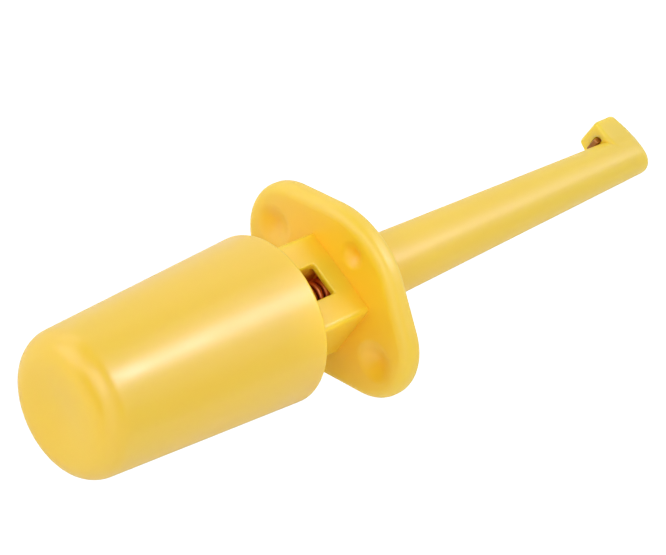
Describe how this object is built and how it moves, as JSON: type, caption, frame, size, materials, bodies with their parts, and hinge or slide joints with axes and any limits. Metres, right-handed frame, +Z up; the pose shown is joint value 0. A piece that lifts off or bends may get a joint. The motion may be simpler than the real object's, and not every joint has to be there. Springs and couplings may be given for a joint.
{
  "type": "test hook clip",
  "caption": "Hand-pressed test clip: a thumb cap slides on a winged body and pushes a sprung metal hook out of a tapered nose to grip a lead or pin.",
  "frame": {"origin": "on the clip's axis, in the plane of the finger flange's front face", "axes": "+X along the axis towards the hook, +Y along the flange's wings towards the side of the tip's tooth, +Z up through the tail's window"},
  "size_m": [0.057, 0.0168, 0.013],
  "materials": {
    "yellow_plastic": "smooth satin moulding, slightly translucent",
    "bronze_strip": "stamped phosphor bronze strip",
    "copper_wire": "drawn copper-coloured spring wire"
  },
  "bodies": {
    "body": {"probe_body": "yellow_plastic", "return_spring": "copper_wire"},
    "plunger": {"plunger_cap": "yellow_plastic", "hook_strip": "bronze_strip"}
  },
  "joints": [
    {"name": "plunger_press", "type": "slide", "parent": "body", "child": "plunger", "axis": [1, 0, 0], "range_m": [0, 0.005], "stiffness_N_per_m": 560, "springref_m": -0.002, "deforming": ["return_spring"]}
  ]
}
